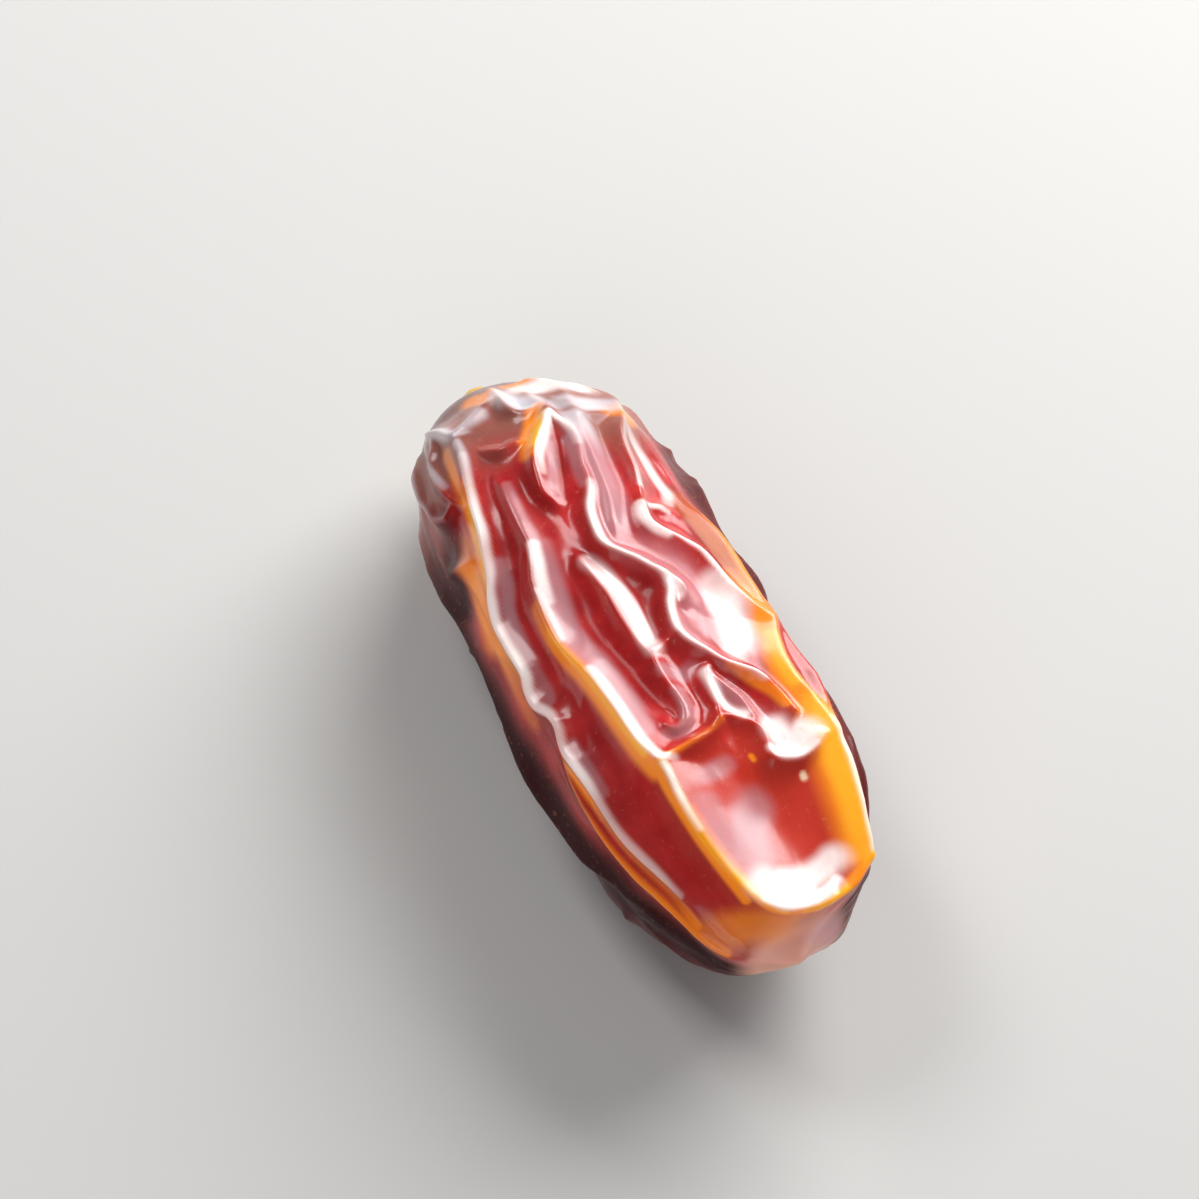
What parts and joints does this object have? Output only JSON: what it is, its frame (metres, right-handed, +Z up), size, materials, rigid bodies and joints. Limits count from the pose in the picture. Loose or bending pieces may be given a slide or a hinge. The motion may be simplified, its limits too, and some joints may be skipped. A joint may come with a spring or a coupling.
{
  "type": "mashrook date",
  "caption": "Whole semi-dried mashrook date lying on its side: a long, blunt, deeply wrinkled fruit with a small woody calyx on one end.",
  "frame": {"origin": "centre of the bounding box, on the surface the date lies on", "axes": "+X along the date from the calyx end to the blunt tip, +Z up from the surface it lies on, +Y completes the right-handed set"},
  "size_m": [0.0494, 0.019, 0.0168],
  "materials": {
    "date_skin": "glossy, waxy, translucent red-brown fruit skin with orange crests",
    "woody_calyx": "dry, matt, yellow-orange woody calyx"
  },
  "bodies": {
    "root": {"fruit": "date_skin", "calyx": "woody_calyx"}
  },
  "joints": []
}
